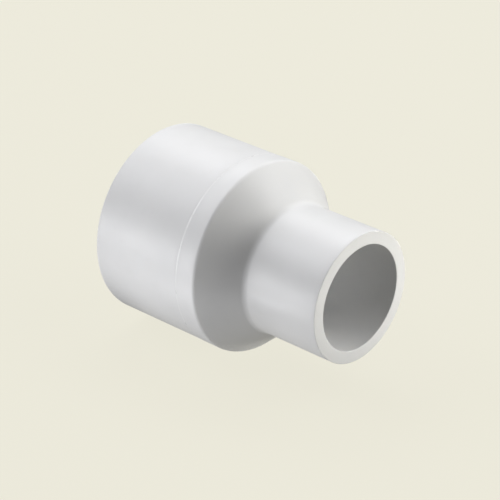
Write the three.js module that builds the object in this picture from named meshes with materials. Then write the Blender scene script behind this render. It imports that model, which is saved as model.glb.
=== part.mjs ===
// A white PVC reducing coupling: a large pipe socket and a small pipe socket on one straight axis,
// joined by a conical shoulder. Units are millimetres, +Z is up.
//
// It lies on its side, as it does when it is put down on a bench. The axis runs along X with the
// small end towards +X, and the origin is below the middle of its length, on the surface it lies on.
//
// It is made of two mouldings joined by solvent cement:
//   large_socket_sleeve    the plain sleeve of the large socket, with a stepped-down tongue
//   reducer_body           the collar over that tongue, the shoulder, both pipe stops, the small socket
//   solvent_cement_ring    the cement that fills the lap and shows as a fine line round the outside
import * as THREE from "three";

// ---- Driving dimensions: the pipe sizes are 1-1/4 in and 3/4 in, Schedule 40 ----
const LENGTH = 64.5;
const LARGE_OUTER_R = 49.55 / 2;
const SMALL_OUTER_R = 33.3 / 2;
const LARGE_BARREL = 33.15; // from the large mouth to the shoulder's corner
const CONE_LENGTH = 9.3; // from the shoulder's corner to the neck's corner

// Sockets taper by a fraction of a degree, so that the pipe wedges before it reaches the stop.
const LARGE_MOUTH_R = 42.42 / 2;
const LARGE_BOTTOM_R = 42.04 / 2;
const LARGE_DEPTH = 31.75;
const SMALL_MOUTH_R = 26.87 / 2;
const SMALL_BOTTOM_R = 26.57 / 2;
const SMALL_DEPTH = 25.4;

// The waterway behind the stops is as wide as the bore of each pipe.
const LARGE_WATERWAY_R = 35.05 / 2;
const SMALL_WATERWAY_R = 20.93 / 2;
const THROAT_LENGTH = 1; // the straight stretch before the small socket's stop

// ---- The cemented lap joint ----
const SEAM_AT = 27.4; // middle of the visible line, from the large mouth
const FILM = 0.2; // thickness of the cement
const FILM_CLEARANCE = 0.05; // on each side of the cement
const GAP = FILM + 2 * FILM_CLEARANCE;
const TONGUE_R = 22.7;
const STOP_CLEARANCE = 0.12; // between the large pipe's stop and the socket's wall
const BEAD_RECESS = 0.08; // how far the cement line lies below the barrel's surface

// ---- Roundings ----
const SHOULDER_ROUND = 1.5;
const NECK_ROUND = 2.8;
const RIM_ROUND = 0.3;
const BORE_ROUND = 0.2;
const LARGE_ROUND_STEPS = 5;
const SMALL_ROUND_STEPS = 2;

const SEGMENTS = 72; // flats round the circumference; one of them faces straight down
const FLAT_ANGLE = (2 * Math.PI) / SEGMENTS;
const AXIS_HEIGHT = LARGE_OUTER_R * Math.cos(FLAT_ANGLE / 2);

// ---- Profiles: a point is (radius, distance from the large mouth) ----

function at(distance, radius) {
  return new THREE.Vector2(radius, distance);
}

// The arc that rounds a corner between two straight edges, as a list of points.
function rounded(before, corner, after, radius, steps) {
  const toBefore = before.clone().sub(corner).normalize();
  const toAfter = after.clone().sub(corner).normalize();
  const half = Math.acos(toBefore.dot(toAfter)) / 2;
  const middle = toBefore.clone().add(toAfter).normalize();
  const centre = corner.clone().addScaledVector(middle, radius / Math.sin(half));
  const start = corner.clone().addScaledVector(toBefore, radius / Math.tan(half));
  const turn = Math.PI - 2 * half;
  const sign = Math.sign(toBefore.cross(toAfter));
  const points = [];
  for (let i = 0; i <= steps; i++) {
    points.push(start.clone().rotateAround(centre, (-sign * turn * i) / steps));
  }
  return points;
}

// A closed outline from corners listed up the outside and back down the inside. A corner with a
// round is replaced by its arc.
function outline(corners) {
  const points = [];
  corners.forEach((corner, i) => {
    if (!corner.round) {
      points.push(corner.point);
      return;
    }
    const before = corners.at(i - 1).point;
    const after = corners[(i + 1) % corners.length].point;
    points.push(...rounded(before, corner.point, after, corner.round, corner.steps));
  });
  return [...points, points[0].clone()];
}

function sharp(distance, radius) {
  return { point: at(distance, radius) };
}

function soft(distance, radius, round, steps = SMALL_ROUND_STEPS) {
  return { point: at(distance, radius), round, steps };
}

// ---- Materials ----

function whitePvc() {
  return new THREE.MeshStandardMaterial({ color: 0xebebe9, roughness: 0.3, metalness: 0 });
}

function driedCement() {
  return new THREE.MeshStandardMaterial({ color: 0xf4f3ee, roughness: 0.2, metalness: 0 });
}

// ---- Pieces ----

function turnedPiece(name, corners, material) {
  const geometry = new THREE.LatheGeometry(outline(corners), SEGMENTS, FLAT_ANGLE / 2);
  const mesh = new THREE.Mesh(geometry, material);
  mesh.name = name;
  return mesh;
}

function largeSocketSleeve() {
  const stepFace = SEAM_AT - GAP / 2;
  return turnedPiece(
    "large_socket_sleeve",
    [
      soft(0, LARGE_OUTER_R, RIM_ROUND),
      sharp(stepFace, LARGE_OUTER_R),
      sharp(stepFace, TONGUE_R),
      sharp(LARGE_DEPTH, TONGUE_R),
      sharp(LARGE_DEPTH, LARGE_BOTTOM_R),
      soft(0, LARGE_MOUTH_R, BORE_ROUND),
    ],
    whitePvc(),
  );
}

function reducerBody() {
  const collarFace = SEAM_AT + GAP / 2;
  const collarInnerR = TONGUE_R + GAP;
  const neckAt = LARGE_BARREL + CONE_LENGTH;
  const smallStopAt = LENGTH - SMALL_DEPTH;
  const largeStopR = LARGE_BOTTOM_R - STOP_CLEARANCE;
  const tongueSeatAt = LARGE_DEPTH + GAP;
  return turnedPiece(
    "reducer_body",
    [
      sharp(collarFace, collarInnerR),
      sharp(collarFace, LARGE_OUTER_R),
      soft(LARGE_BARREL, LARGE_OUTER_R, SHOULDER_ROUND, LARGE_ROUND_STEPS),
      soft(neckAt, SMALL_OUTER_R, NECK_ROUND, LARGE_ROUND_STEPS),
      soft(LENGTH, SMALL_OUTER_R, RIM_ROUND),
      soft(LENGTH, SMALL_MOUTH_R, BORE_ROUND),
      sharp(smallStopAt, SMALL_BOTTOM_R),
      sharp(smallStopAt, SMALL_WATERWAY_R),
      sharp(smallStopAt - THROAT_LENGTH, SMALL_WATERWAY_R),
      sharp(LARGE_DEPTH, LARGE_WATERWAY_R),
      sharp(LARGE_DEPTH, largeStopR),
      sharp(tongueSeatAt, largeStopR),
      sharp(tongueSeatAt, collarInnerR),
    ],
    whitePvc(),
  );
}

function solventCementRing() {
  const beadFrom = SEAM_AT - FILM / 2;
  const beadTo = SEAM_AT + FILM / 2;
  const filmInnerR = TONGUE_R + FILM_CLEARANCE;
  const filmOuterR = filmInnerR + FILM;
  const endFrom = LARGE_DEPTH + FILM_CLEARANCE;
  const endTo = endFrom + FILM;
  const endInnerR = LARGE_BOTTOM_R + FILM_CLEARANCE;
  return turnedPiece(
    "solvent_cement_ring",
    [
      sharp(beadFrom, filmInnerR),
      sharp(beadFrom, LARGE_OUTER_R - BEAD_RECESS),
      sharp(beadTo, LARGE_OUTER_R - BEAD_RECESS),
      sharp(beadTo, filmOuterR),
      sharp(endTo, filmOuterR),
      sharp(endTo, endInnerR),
      sharp(endFrom, endInnerR),
      sharp(endFrom, filmInnerR),
    ],
    driedCement(),
  );
}

// ---- The fitting, laid on its side ----

const fitting = new THREE.Group();
fitting.add(largeSocketSleeve(), reducerBody(), solventCementRing());
fitting.rotation.z = -Math.PI / 2;
fitting.position.set(-LENGTH / 2, 0, AXIS_HEIGHT);

const part = new THREE.Group();
part.add(fitting);

export default part;
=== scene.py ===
"""The looks of a white PVC reducing coupling that lies on a pale floor in soft studio light.

Everything is in metres in the part's own frame: +X runs from the large mouth to the small one, +Z is
up, and the fitting lies on the plane z = 0. Each CAD solid is replaced by a smooth turned mesh with
finely rounded edges, and the three pieces keep the CAD's sizes.
"""

import math

import bpy
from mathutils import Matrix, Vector, noise


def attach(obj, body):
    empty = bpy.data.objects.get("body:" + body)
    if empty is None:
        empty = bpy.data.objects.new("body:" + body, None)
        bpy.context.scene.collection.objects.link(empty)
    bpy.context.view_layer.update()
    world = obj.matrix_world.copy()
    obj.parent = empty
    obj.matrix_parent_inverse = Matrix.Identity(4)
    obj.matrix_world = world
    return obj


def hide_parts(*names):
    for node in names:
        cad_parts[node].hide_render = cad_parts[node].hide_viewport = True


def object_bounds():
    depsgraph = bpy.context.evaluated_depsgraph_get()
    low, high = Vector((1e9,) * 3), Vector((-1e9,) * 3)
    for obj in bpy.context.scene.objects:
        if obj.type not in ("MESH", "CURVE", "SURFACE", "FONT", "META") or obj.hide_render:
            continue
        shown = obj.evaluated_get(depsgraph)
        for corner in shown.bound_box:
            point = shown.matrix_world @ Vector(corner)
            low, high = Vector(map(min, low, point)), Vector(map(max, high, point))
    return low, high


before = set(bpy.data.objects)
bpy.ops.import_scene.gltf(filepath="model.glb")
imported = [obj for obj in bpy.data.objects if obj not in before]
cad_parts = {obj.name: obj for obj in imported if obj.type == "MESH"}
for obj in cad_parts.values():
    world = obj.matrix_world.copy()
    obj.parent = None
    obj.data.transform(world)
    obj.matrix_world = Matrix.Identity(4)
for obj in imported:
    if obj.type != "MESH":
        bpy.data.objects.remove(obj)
CAD_LOW, CAD_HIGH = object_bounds()

MM = 0.001

# ---- The fitting's place, from the CAD box ----
START_X = CAD_LOW.x
LENGTH = CAD_HIGH.x - CAD_LOW.x
LARGE_OUTER_R = (CAD_HIGH.y - CAD_LOW.y) / 2
AXIS_Z = CAD_LOW.z + LARGE_OUTER_R
CENTRE = Vector((START_X + LENGTH / 2, 0, AXIS_Z))

# ---- Sizes along and across the axis, the same as the CAD's ----
SMALL_OUTER_R = 16.65 * MM
LARGE_BARREL = 33.15 * MM
CONE_LENGTH = 9.3 * MM
LARGE_MOUTH_R = 21.21 * MM
LARGE_BOTTOM_R = 21.02 * MM
LARGE_DEPTH = 31.75 * MM
SMALL_MOUTH_R = 13.435 * MM
SMALL_BOTTOM_R = 13.285 * MM
SMALL_DEPTH = 25.4 * MM
LARGE_WATERWAY_R = 17.525 * MM
SMALL_WATERWAY_R = 10.465 * MM
THROAT_LENGTH = 1 * MM
SEAM_AT = 27.4 * MM
GAP = 0.3 * MM
FILM = 0.2 * MM
TONGUE_R = 22.7 * MM
STOP_CLEARANCE = 0.12 * MM

# ---- Roundings: at the two mouths they are finer than the CAD's ----
SHOULDER_ROUND = 1.5 * MM
NECK_ROUND = 2.8 * MM
RIM_ROUND = 0.12 * MM
BORE_ROUND = 0.1 * MM
STOP_ROUND = 0.4 * MM
SLEEVE_EDGE_ROUND = 0.08 * MM  # the sleeve's edge at the cement line
COLLAR_EDGE_ROUND = 0.15 * MM  # the collar's edge at the cement line
FINE_ROUND = 0.015 * MM

# ---- The cement line: a sloping fillet from the sleeve up to the collar ----
SLEEVE_DRAFT = 0.07 * MM  # how much the sleeve's outside tapers down towards the line
FILLET_TOE = 0.2 * MM  # from the middle of the line to the fillet's edge on the sleeve
FILLET_TOP = 0.25 * MM  # from the middle of the line to the fillet's edge on the collar
FILLET_SINK = 0.012 * MM  # how far those edges dip below the plastic, so that no gap shows

# ---- Mesh fineness ----
SEGMENTS = 288
ROUND_STEPS = 8
LONGEST_EDGE = 1.2 * MM
WAVE_DEPTH = 0.012 * MM  # how far the moulded skin sinks below the true surface
WAVE_SIZE = 9 * MM

# ---- Camera, at the photograph's viewing angle ----
CAMERA_AZIMUTH = math.radians(42.98)
CAMERA_ELEVATION = math.radians(26.82)
CAMERA_DISTANCE = 516.1 * MM
CAMERA_AIM = CENTRE + Vector((-2.31, -1.28, 1.27)) * MM
CAMERA_LENS = 151.2
SENSOR_WIDTH = 36


# ---------------------------------------------------------------- turned pieces


def rounded(before, corner, after, radius):
    """The points of the arc that rounds a corner between two straight edges."""
    to_before = (before - corner).normalized()
    to_after = (after - corner).normalized()
    half = math.acos(to_before.dot(to_after)) / 2
    middle = (to_before + to_after).normalized()
    centre = corner + middle * (radius / math.sin(half))
    start = corner + to_before * (radius / math.tan(half)) - centre
    end = corner + to_after * (radius / math.tan(half)) - centre
    turn = math.pi - 2 * half
    points = []
    for step in range(ROUND_STEPS + 1):
        share = step / ROUND_STEPS
        along_start = math.sin((1 - share) * turn) / math.sin(turn)
        along_end = math.sin(share * turn) / math.sin(turn)
        points.append(centre + start * along_start + end * along_end)
    return points


def outline(corners):
    """A closed outline of (distance, radius, wear) from corners given as (distance, radius, round).

    wear is 1 on a rounded edge and 0 on the plain stretches, which are cut into short lengths.
    """
    points = []
    for i, (distance, radius, edge_round) in enumerate(corners):
        corner = Vector((distance, radius))
        before = Vector(corners[i - 1][:2])
        after = Vector(corners[(i + 1) % len(corners)][:2])
        if edge_round:
            points += [(p.x, p.y, 1.0) for p in rounded(before, corner, after, edge_round)]
        else:
            points.append((distance, radius, 0.0))
    filled = []
    for i, here in enumerate(points):
        there = points[(i + 1) % len(points)]
        pieces = max(1, math.ceil(math.dist(here[:2], there[:2]) / LONGEST_EDGE))
        filled.append(here)
        for cut in range(1, pieces):
            share = cut / pieces
            filled.append((
                here[0] + (there[0] - here[0]) * share,
                here[1] + (there[1] - here[1]) * share,
                0.0,
            ))
    return filled


def skin_wave(distance, angle, radius):
    """How far the moulded skin sinks at a place, from 0 to WAVE_DEPTH."""
    place = Vector((distance, radius * math.cos(angle), radius * math.sin(angle))) / WAVE_SIZE
    return WAVE_DEPTH * (0.5 + 0.5 * max(-1.0, min(1.0, noise.noise(place))))


def turned_piece(name, corners, material, node):
    """A closed ring turned about the fitting's axis, which stands for one CAD node."""
    profile = outline(corners)
    count = len(profile)
    vertices = []
    wear = []
    for step in range(SEGMENTS):
        angle = 2 * math.pi * step / SEGMENTS
        for distance, radius, worn in profile:
            true_radius = radius - skin_wave(distance, angle, radius)
            y = true_radius * math.cos(angle)
            z = true_radius * math.sin(angle)
            vertices.append((START_X + distance, y, AXIS_Z + z))
            wear.append(worn)
    faces = []
    for step in range(SEGMENTS):
        here = step * count
        there = (step + 1) % SEGMENTS * count
        for i in range(count):
            j = (i + 1) % count
            faces.append((here + i, there + i, there + j, here + j))
    mesh = bpy.data.meshes.new(name)
    mesh.from_pydata(vertices, [], faces)
    mesh.shade_smooth()
    mesh.attributes.new("edge_wear", "FLOAT", "POINT").data.foreach_set("value", wear)
    mesh.materials.append(material)
    piece = bpy.data.objects.new(name, mesh)
    bpy.context.scene.collection.objects.link(piece)
    weighted = piece.modifiers.new("even_shading", "WEIGHTED_NORMAL")
    weighted.keep_sharp = False
    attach(piece, "root")
    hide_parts(node)
    return piece


def large_socket_sleeve(material):
    step_face = SEAM_AT - GAP / 2
    return turned_piece(
        "sleeve_skin",
        [
            (0, LARGE_OUTER_R, RIM_ROUND),
            (step_face, LARGE_OUTER_R - SLEEVE_DRAFT, SLEEVE_EDGE_ROUND),
            (step_face, TONGUE_R, 0),
            (LARGE_DEPTH, TONGUE_R, 0),
            (LARGE_DEPTH, LARGE_BOTTOM_R, FINE_ROUND),
            (0, LARGE_MOUTH_R, BORE_ROUND),
        ],
        material,
        "large_socket_sleeve",
    )


def reducer_body(material):
    collar_face = SEAM_AT + GAP / 2
    collar_inner_r = TONGUE_R + GAP
    neck_at = LARGE_BARREL + CONE_LENGTH
    small_stop_at = LENGTH - SMALL_DEPTH
    large_stop_r = LARGE_BOTTOM_R - STOP_CLEARANCE
    tongue_seat_at = LARGE_DEPTH + GAP
    return turned_piece(
        "reducer_skin",
        [
            (collar_face, collar_inner_r, 0),
            (collar_face, LARGE_OUTER_R, COLLAR_EDGE_ROUND),
            (LARGE_BARREL, LARGE_OUTER_R, SHOULDER_ROUND),
            (neck_at, SMALL_OUTER_R, NECK_ROUND),
            (LENGTH, SMALL_OUTER_R, RIM_ROUND),
            (LENGTH, SMALL_MOUTH_R, BORE_ROUND),
            (small_stop_at, SMALL_BOTTOM_R, STOP_ROUND),
            (small_stop_at, SMALL_WATERWAY_R, STOP_ROUND),
            (small_stop_at - THROAT_LENGTH, SMALL_WATERWAY_R, STOP_ROUND),
            (LARGE_DEPTH, LARGE_WATERWAY_R, STOP_ROUND),
            (LARGE_DEPTH, large_stop_r, FINE_ROUND),
            (tongue_seat_at, large_stop_r, 0),
            (tongue_seat_at, collar_inner_r, 0),
        ],
        material,
        "reducer_body",
    )


def solvent_cement_ring(material):
    bead_from = SEAM_AT - GAP / 2
    bead_to = SEAM_AT + GAP / 2
    film_inner_r = TONGUE_R + (GAP - FILM) / 2
    film_outer_r = film_inner_r + FILM
    end_from = LARGE_DEPTH + (GAP - FILM) / 2
    end_to = end_from + FILM
    end_inner_r = LARGE_BOTTOM_R + (GAP - FILM) / 2
    sleeve_end_r = LARGE_OUTER_R - SLEEVE_DRAFT
    return turned_piece(
        "cement_bead",
        [
            (bead_from, film_inner_r, 0),
            (bead_from, sleeve_end_r - SLEEVE_EDGE_ROUND, 0),
            (SEAM_AT - FILLET_TOE, sleeve_end_r - FILLET_SINK, FINE_ROUND),
            (SEAM_AT + FILLET_TOP, LARGE_OUTER_R - FILLET_SINK, FINE_ROUND),
            (bead_to, LARGE_OUTER_R - COLLAR_EDGE_ROUND, 0),
            (bead_to, film_outer_r, 0),
            (end_to, film_outer_r, 0),
            (end_to, end_inner_r, FINE_ROUND),
            (end_from, end_inner_r, FINE_ROUND),
            (end_from, film_inner_r, 0),
        ],
        material,
        "solvent_cement_ring",
    )


# ---------------------------------------------------------------- materials

PVC_IOR = 1.53
PVC_SHADES = ((0.69, 0.69, 0.687), (0.715, 0.714, 0.709))
PVC_HANDLED = (0.65, 0.648, 0.64)
PEEL_DEPTH = 0.004 * MM
GRAIN_DEPTH = 0.0012 * MM

CEMENT_IOR = 1.5
CEMENT_SHADES = ((0.715, 0.715, 0.705), (0.755, 0.755, 0.745))
CEMENT_RIPPLE_DEPTH = 0.02 * MM


class Shader:
    """A material's node tree, with a short way to add and join nodes."""

    def __init__(self, name):
        self.material = bpy.data.materials.new(name)
        self.material.use_nodes = True
        self.tree = self.material.node_tree
        self.surface = self.tree.nodes["Principled BSDF"]
        self.place = self.add("ShaderNodeTexCoord").outputs["Object"]

    def add(self, kind, **values):
        node = self.tree.nodes.new(kind)
        for key, value in values.items():
            setattr(node, key, value)
        return node

    def join(self, source, target):
        self.tree.links.new(source, target)

    def noise(self, size, detail=2.0, stretch=(1, 1, 1)):
        """A noise from 0 to 1 whose features are about size metres wide."""
        mapping = self.add("ShaderNodeMapping")
        mapping.inputs["Scale"].default_value = stretch
        self.join(self.place, mapping.inputs["Vector"])
        texture = self.add("ShaderNodeTexNoise")
        texture.inputs["Scale"].default_value = 1 / size
        texture.inputs["Detail"].default_value = detail
        self.join(mapping.outputs["Vector"], texture.inputs["Vector"])
        return texture.outputs["Fac"]

    def ranged(self, value, low, high, from_low=0.3, from_high=0.7):
        """value moved from one range to another."""
        node = self.add("ShaderNodeMapRange")
        node.inputs["From Min"].default_value = from_low
        node.inputs["From Max"].default_value = from_high
        node.inputs["To Min"].default_value = low
        node.inputs["To Max"].default_value = high
        self.join(value, node.inputs["Value"])
        return node.outputs["Result"]

    def math(self, operation, first, second):
        """Two values joined by a Math node; the second may be a plain number."""
        node = self.add("ShaderNodeMath", operation=operation)
        self.join(first, node.inputs[0])
        if isinstance(second, (int, float)):
            node.inputs[1].default_value = second
        else:
            self.join(second, node.inputs[1])
        return node.outputs["Value"]

    def mix(self, share, colour_a, colour_b):
        """Two colours mixed by a share; each may be a socket or three numbers."""
        node = self.add("ShaderNodeMix", data_type="RGBA")
        self.join(share, node.inputs["Factor"])
        for socket, colour in (("A", colour_a), ("B", colour_b)):
            target = [s for s in node.inputs if s.name == socket and s.type == "RGBA"][0]
            if isinstance(colour, tuple):
                target.default_value = (*colour, 1)
            else:
                self.join(colour, target)
        return [s for s in node.outputs if s.type == "RGBA"][0]

    def bump(self, height, distance, normal=None):
        """A bump of that depth in metres, laid over another."""
        node = self.add("ShaderNodeBump")
        node.inputs["Strength"].default_value = 1
        node.inputs["Distance"].default_value = distance
        self.join(height, node.inputs["Height"])
        if normal:
            self.join(normal, node.inputs["Normal"])
        return node.outputs["Normal"]

    def edge_wear(self):
        return self.add("ShaderNodeAttribute", attribute_name="edge_wear").outputs["Fac"]


def white_pvc():
    """Rigid white PVC as it comes out of a mould: semi-gloss, with a faint orange peel and scuffs."""
    shader = Shader("white_pvc_moulded")
    surface = shader.surface
    surface.inputs["IOR"].default_value = PVC_IOR
    surface.inputs["Subsurface Weight"].default_value = 0.1
    surface.inputs["Subsurface Radius"].default_value = (1.0, 0.95, 0.85)
    surface.inputs["Subsurface Scale"].default_value = 1.2 * MM

    clouds = shader.noise(14 * MM, detail=3)
    colour = shader.mix(shader.ranged(clouds, 0, 1), *PVC_SHADES)
    handling = shader.ranged(shader.noise(5 * MM, detail=6), 0, 0.35, 0.58, 0.8)
    colour = shader.mix(handling, colour, PVC_HANDLED)
    shader.join(colour, surface.inputs["Base Color"])

    sheen = shader.ranged(shader.noise(6 * MM, detail=5), 0.37, 0.44)
    drag = shader.ranged(shader.noise(0.5 * MM, detail=3, stretch=(0.05, 1, 1)), 0, 0.05)
    worn = shader.math("MULTIPLY", shader.edge_wear(), 0.12)
    roughness = shader.math("ADD", shader.math("ADD", sheen, drag), worn)
    shader.join(roughness, surface.inputs["Roughness"])

    peel = shader.bump(shader.noise(1.1 * MM, detail=2), PEEL_DEPTH)
    grain = shader.bump(shader.noise(0.12 * MM, detail=4), GRAIN_DEPTH, peel)
    shader.join(grain, surface.inputs["Normal"])
    return shader.material


def dried_cement():
    """Clear solvent cement that has dried over white plastic: a little glossier than it."""
    shader = Shader("dried_solvent_cement")
    surface = shader.surface
    surface.inputs["IOR"].default_value = CEMENT_IOR
    ripples = shader.noise(1.5 * MM, detail=3)
    colour = shader.mix(shader.ranged(ripples, 0, 1), *CEMENT_SHADES)
    shader.join(colour, surface.inputs["Base Color"])
    shader.join(shader.ranged(ripples, 0.25, 0.38), surface.inputs["Roughness"])
    shader.join(shader.bump(ripples, CEMENT_RIPPLE_DEPTH), surface.inputs["Normal"])
    return shader.material


# ---------------------------------------------------------------- stage, lights and camera

FLOOR_COLOUR = (0.83, 0.81, 0.70)
FLOOR_GLOW = 0.944  # the floor is a light table: this share of its brightness comes from below
FLOOR_ALBEDO = 0.05
FLOOR_HALF_SIDE = 6.0
PANEL_DEPTH = 2 * MM  # how far the light table's small panels lie below its surface
WIDE_PANEL_DEPTH = 4 * MM  # deeper, because panels that overlap in one plane lose light

NEAR = 0.7  # metres from the fitting to a softbox
FAR = 2.1
STRIP_DISTANCE = 2.0

NEUTRAL = (1.0, 1.0, 1.0)
WARM = (1.0, 0.992, 0.955)
COOL = (0.97, 0.975, 1.0)
TABLE_WHITE = (1.0, 0.985, 0.91)


def only_seen(thing):
    """The camera sees it, and it sends no light of its own to the fitting and blocks none."""
    thing.visible_diffuse = False
    thing.visible_glossy = False
    thing.visible_shadow = False


def floor():
    mesh = bpy.data.meshes.new("floor")
    corner = FLOOR_HALF_SIDE
    square = [(-corner, -corner, 0), (corner, -corner, 0), (corner, corner, 0), (-corner, corner, 0)]
    mesh.from_pydata(square, [], [(0, 1, 2, 3)])
    material = bpy.data.materials.new("pale_paper")
    material.use_nodes = True
    surface = material.node_tree.nodes["Principled BSDF"]
    surface.inputs["Base Color"].default_value = (*[c * FLOOR_ALBEDO for c in FLOOR_COLOUR], 1)
    surface.inputs["Emission Color"].default_value = (*FLOOR_COLOUR, 1)
    surface.inputs["Emission Strength"].default_value = FLOOR_GLOW
    surface.inputs["Roughness"].default_value = 0.9
    surface.inputs["Specular IOR Level"].default_value = 0.1
    mesh.materials.append(material)
    sheet = bpy.data.objects.new("floor", mesh)
    bpy.context.scene.collection.objects.link(sheet)
    only_seen(sheet)


def direction(azimuth, elevation):
    return Vector((
        math.sin(azimuth) * math.cos(elevation),
        -math.cos(azimuth) * math.cos(elevation),
        math.sin(elevation),
    ))


def area_light(name, place, away, width, height, power, colour):
    """A rectangular light at a place, which shines against the direction away."""
    light = bpy.data.lights.new(name, "AREA")
    light.shape = "RECTANGLE"
    light.size = width
    light.size_y = height
    light.energy = power
    light.color = colour
    lamp = bpy.data.objects.new(name, light)
    lamp.location = place
    lamp.rotation_mode = "QUATERNION"
    lamp.rotation_quaternion = away.to_track_quat("Z", "Y")
    lamp.visible_camera = False
    bpy.context.scene.collection.objects.link(lamp)


def softbox(name, azimuth, elevation, distance, width, height, power, colour=NEUTRAL):
    """A softbox that faces the fitting; angles are in degrees and lengths in metres."""
    away = direction(math.radians(azimuth), math.radians(elevation))
    area_light(name, CENTRE + away * distance, away, width, height, power, colour)


def table_panel(name, x, y, width, depth, power, colour=TABLE_WHITE, below=PANEL_DEPTH):
    """A lit panel under the light table, which shines straight up through it."""
    place = Vector((x, y, -below))
    area_light(name, place, Vector((0, 0, -1)), width, depth, power, colour)


def studio_light():
    """The front-left strip dips below the floor, where it stands in for the floor's lit far part."""
    softbox("right_strip", 112, 7, NEAR, 0.36, 0.16, 2.94, WARM)
    softbox("right_overhead", 137, 50, NEAR, 0.55, 0.35, 1.9)
    softbox("back_overhead", 197, 50, NEAR, 0.45, 0.35, 1.88)
    softbox("back_left_overhead", 240, 50, NEAR, 0.35, 0.35, 1.72, COOL)
    softbox("left_overhead", 300, 50, FAR, 1.2, 1.05, 15.75, COOL)
    softbox("left_fill", 285, 24, FAR, 1.2, 0.9, 9.45, COOL)
    softbox("front_left_strip", 323, -3, STRIP_DISTANCE, 2.2, 0.5, 23.5, COOL)
    table_panel("wide_panel", 0, 0, 0.4, 0.4, 0.078, below=WIDE_PANEL_DEPTH)
    table_panel("under_panel", 0, 0, 0.065, 0.05, 0.0025)
    table_panel("right_panel", 0.1, 0.05, 0.1, 0.06, 0.0496)
    table_panel("front_panel", -0.02, -0.065, 0.025, 0.025, 0.0205, COOL)
    table_panel("front_right_panel", 0.03, -0.04, 0.025, 0.025, 0.0033, COOL)


def backdrop():
    """The studio beyond the floor: as pale as the floor, and it lights nothing."""
    world = bpy.data.worlds.new("studio")
    world.use_nodes = True
    background = world.node_tree.nodes["Background"]
    background.inputs["Color"].default_value = (*FLOOR_COLOUR, 1)
    background.inputs["Strength"].default_value = FLOOR_GLOW
    world.cycles_visibility.diffuse = False
    world.cycles_visibility.glossy = False
    bpy.context.scene.world = world


def camera():
    data = bpy.data.cameras.new("photo_camera")
    data.lens = CAMERA_LENS
    data.sensor_width = SENSOR_WIDTH
    viewer = bpy.data.objects.new("photo_camera", data)
    away = direction(CAMERA_AZIMUTH, CAMERA_ELEVATION)
    viewer.location = CAMERA_AIM + away * CAMERA_DISTANCE
    viewer.rotation_mode = "QUATERNION"
    viewer.rotation_quaternion = away.to_track_quat("Z", "Y")
    bpy.context.scene.collection.objects.link(viewer)
    bpy.context.scene.camera = viewer


camera()
floor()
backdrop()
studio_light()
bpy.context.scene.view_settings.view_transform = "Standard"

plastic = white_pvc()
large_socket_sleeve(plastic)
reducer_body(plastic)
solvent_cement_ring(dried_cement())
